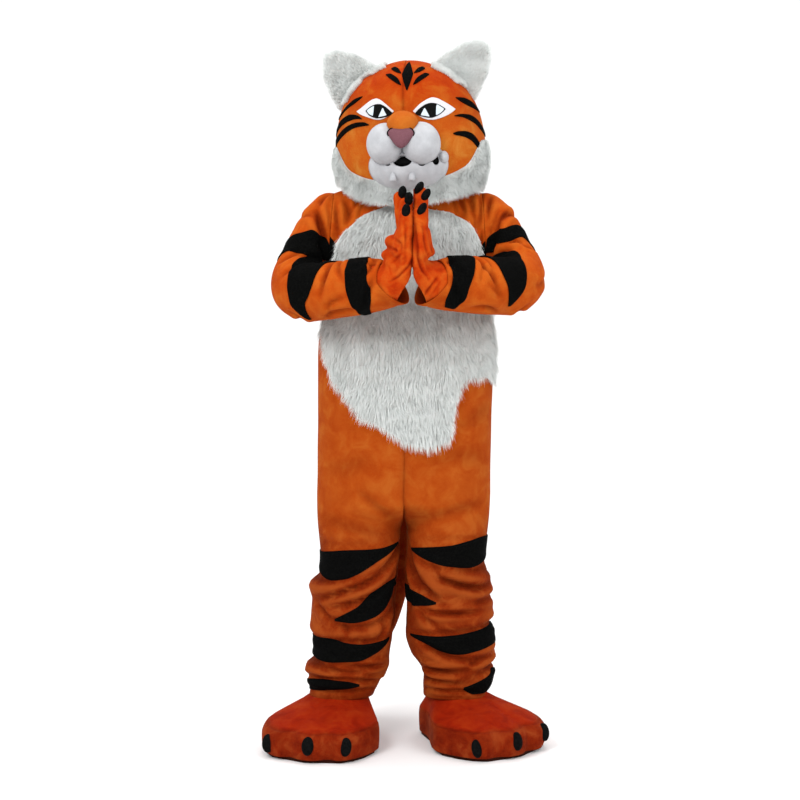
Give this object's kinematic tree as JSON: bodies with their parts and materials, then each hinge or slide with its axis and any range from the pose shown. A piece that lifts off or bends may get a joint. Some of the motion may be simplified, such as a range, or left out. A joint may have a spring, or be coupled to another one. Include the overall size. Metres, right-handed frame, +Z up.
{
  "type": "tiger mascot costume",
  "caption": "Hollow plush tiger mascot costume: fur-ruffed head, jumpsuit with white belly and black stripes, paw gloves, foot covers and tail, palms together.",
  "frame": {"origin": "between the wearer's shoulders, at the middle of the suit's neck, 1.49 m above the floor the soles stand on", "axes": "+Z up, +X to the wearer's left, -Y to the front, the way the costume faces"},
  "size_m": [0.7711, 0.5983, 1.8837],
  "materials": {
    "orange_plush": "short-pile plush",
    "foot_plush": "short-pile plush, redder",
    "white_fur": "long-pile faux fur",
    "white_plush": "short-pile plush",
    "black_plush": "short-pile plush",
    "nose_felt": "brushed felt",
    "claw_vinyl": "satin vinyl",
    "mouth_mesh": "matt see-through mesh",
    "sole_rubber": "matt",
    "zip_tape": "woven tape",
    "zip_metal": "satin"
  },
  "bodies": {
    "costume": {"head_left": "orange_plush", "head_right": "orange_plush", "nose_bridge": "orange_plush", "front_left": "orange_plush", "front_right": "orange_plush", "back_left": "orange_plush", "back_right": "orange_plush", "sleeve_left": "orange_plush", "sleeve_right": "orange_plush", "glove_left": "orange_plush", "glove_right": "orange_plush", "tail": "orange_plush", "foot_left": "foot_plush", "foot_right": "foot_plush", "belly": "white_fur", "ruff_left": "white_fur", "ruff_right": "white_fur", "ear_left": "white_fur", "ear_right": "white_fur", "muzzle_left": "white_plush", "muzzle_right": "white_plush", "jaw": "white_plush", "tooth_left": "white_plush", "tooth_right": "white_plush", "eye_left": "white_plush", "eye_right": "white_plush", "stripe_left_thigh": "black_plush", "stripe_left_knee": "black_plush", "stripe_left_shin": "black_plush", "stripe_left_ankle": "black_plush", "stripe_left_upper_sleeve": "black_plush", "stripe_left_elbow_sleeve": "black_plush", "stripe_left_fore_sleeve": "black_plush", "stripe_right_thigh": "black_plush", "stripe_right_knee": "black_plush", "stripe_right_shin": "black_plush", "stripe_right_ankle": "black_plush", "stripe_right_upper_sleeve": "black_plush", "stripe_right_elbow_sleeve": "black_plush", "stripe_right_fore_sleeve": "black_plush", "nose": "nose_felt", "claw_left_index": "claw_vinyl", "claw_left_middle": "claw_vinyl", "claw_left_little": "claw_vinyl", "claw_left_inner_toe": "claw_vinyl", "claw_left_middle_toe": "claw_vinyl", "claw_left_outer_toe": "claw_vinyl", "claw_right_index": "claw_vinyl", "claw_right_middle": "claw_vinyl", "claw_right_little": "claw_vinyl", "claw_right_inner_toe": "claw_vinyl", "claw_right_middle_toe": "claw_vinyl", "claw_right_outer_toe": "claw_vinyl", "mouth_mesh": "mouth_mesh", "sole_left": "sole_rubber", "sole_right": "sole_rubber", "zip_tape": "zip_tape", "zip_slider": "zip_metal"},
    "zip_pull": {"zip_pull": "zip_metal"}
  },
  "joints": [
    {"name": "zip_pull_swing", "type": "hinge", "parent": "costume", "child": "zip_pull", "pos_m": [0.02066, 0.1103, -0.06285], "axis": [0.9999, 0.0032, -0.0138], "range_deg": [0, 150]}
  ]
}
